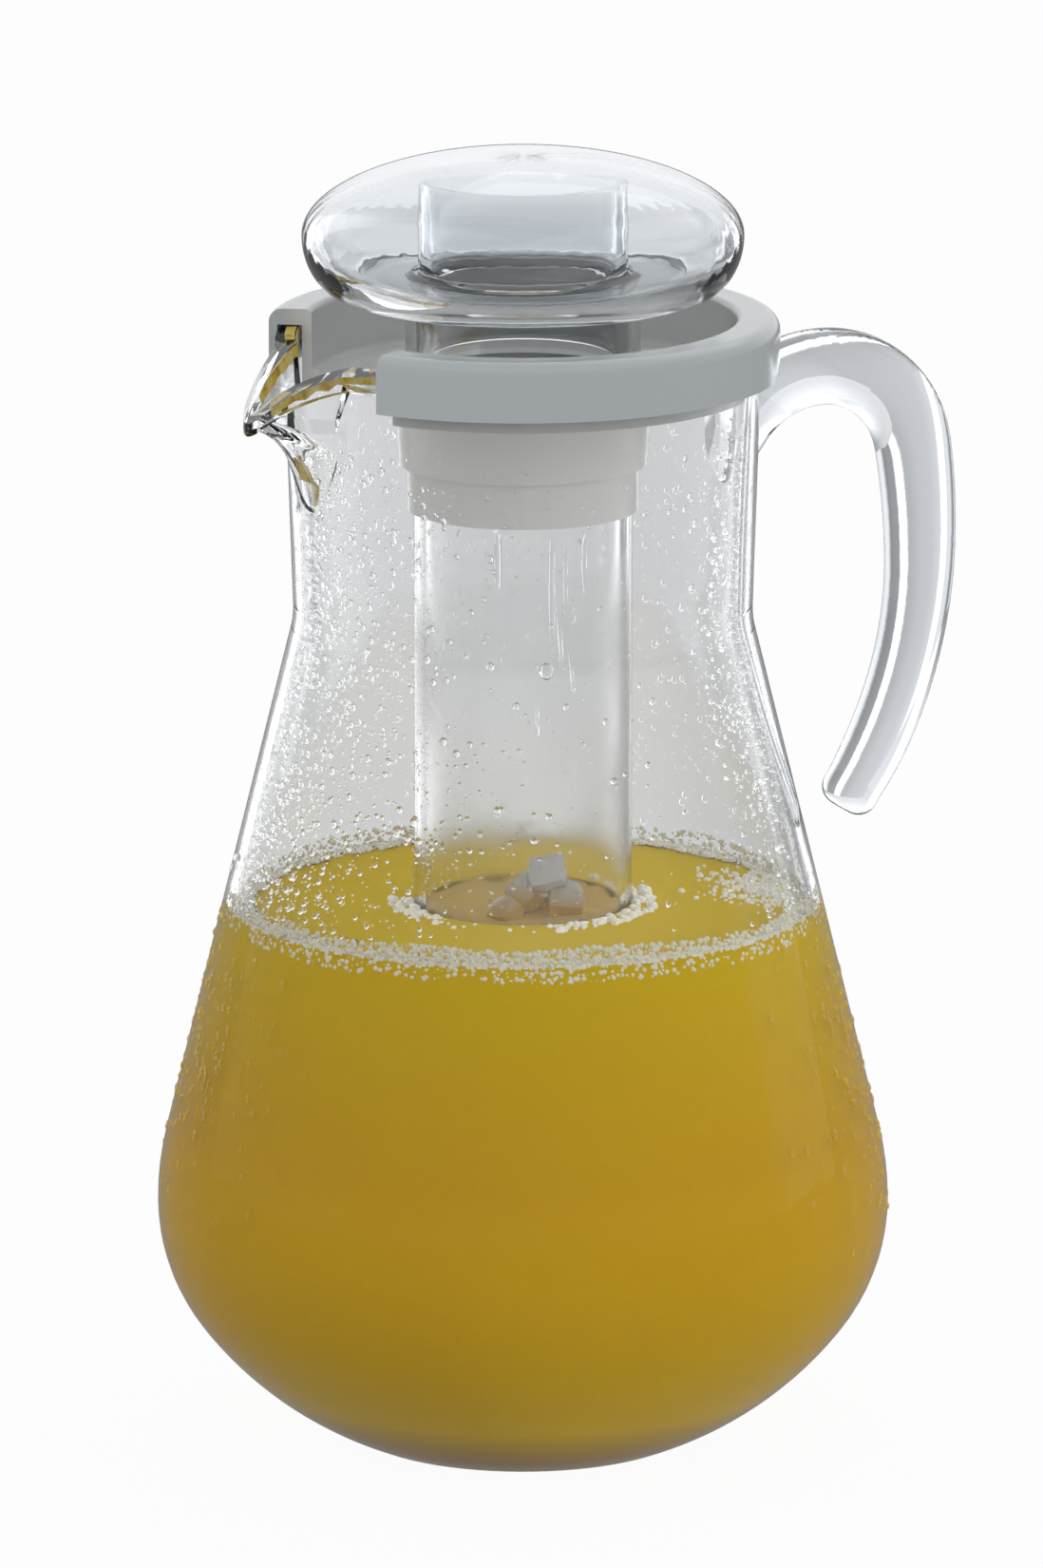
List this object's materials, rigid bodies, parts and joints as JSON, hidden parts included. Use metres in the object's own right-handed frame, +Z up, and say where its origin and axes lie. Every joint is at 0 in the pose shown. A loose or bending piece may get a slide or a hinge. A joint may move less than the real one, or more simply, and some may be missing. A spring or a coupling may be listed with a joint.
{
  "type": "juice jug",
  "caption": "Clear plastic juice jug with a bar handle, spout, grey notched lid, hanging ice tube and hollow mushroom cap.",
  "frame": {"origin": "centre of the flat base, on the table", "axes": "+Z up along the jug's axis; the spout points to -X and the handle stands out to +X"},
  "size_m": [0.1971, 0.172, 0.3055],
  "materials": {
    "clear_body": "clear, polished",
    "clear_handle": "clear, polished",
    "grey_lid": "satin moulded grey",
    "gasket": "soft, pale",
    "clear_tube": "clear, polished",
    "clear_cap": "clear, polished",
    "clear_plug": "clear, polished"
  },
  "bodies": {
    "jug": {"jug_body": "clear_body", "handle": "clear_handle"},
    "lid": {"lid": "grey_lid", "tube_gasket": "gasket"},
    "ice_tube": {"ice_tube": "clear_tube"},
    "cap": {"cap_top": "clear_cap", "cap_base": "clear_plug"}
  },
  "joints": [
    {"name": "lid_lift", "type": "slide", "parent": "jug", "child": "lid", "axis": [0, 0, 1], "range_m": [0, 0.24]},
    {"name": "tube_lift", "type": "slide", "parent": "lid", "child": "ice_tube", "axis": [0, 0, 1], "range_m": [0, 0.24]},
    {"name": "cap_lift", "type": "slide", "parent": "ice_tube", "child": "cap", "axis": [0, 0, 1], "range_m": [0, 0.05]}
  ]
}
